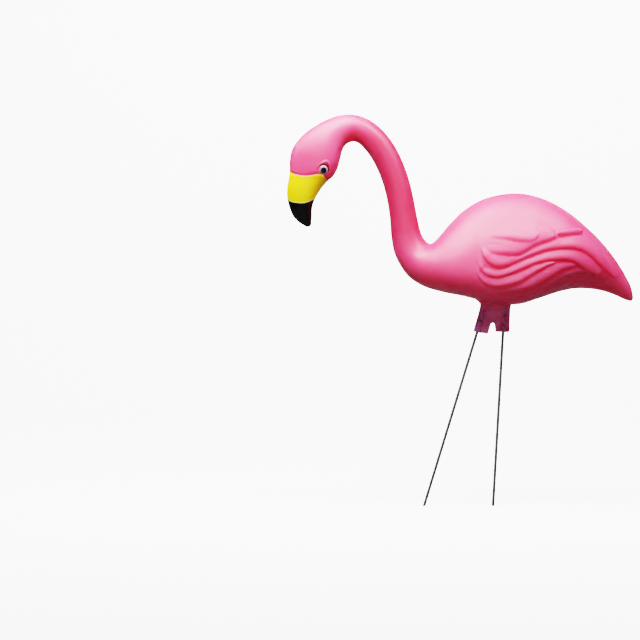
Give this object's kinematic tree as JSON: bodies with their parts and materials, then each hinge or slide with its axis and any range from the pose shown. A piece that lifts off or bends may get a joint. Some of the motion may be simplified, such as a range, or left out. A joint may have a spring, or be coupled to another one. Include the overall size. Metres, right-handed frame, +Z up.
{
  "type": "flamingo lawn ornament",
  "caption": "Blow-moulded pink plastic flamingo with a curved neck and feathered wings, standing on slanted steel rods that push into a lawn.",
  "frame": {"origin": "on the ground plane, midway between the two rods where they enter the ground", "axes": "+Z up, the beak towards -X and the tail towards +X, the bird's own left side towards -Y"},
  "size_m": [0.6055, 0.167, 0.685],
  "materials": {
    "pink_plastic": "satin",
    "steel_rod": "dull"
  },
  "bodies": {
    "root": {"bird": "pink_plastic", "front_leg": "steel_rod", "rear_leg": "steel_rod"}
  },
  "joints": []
}
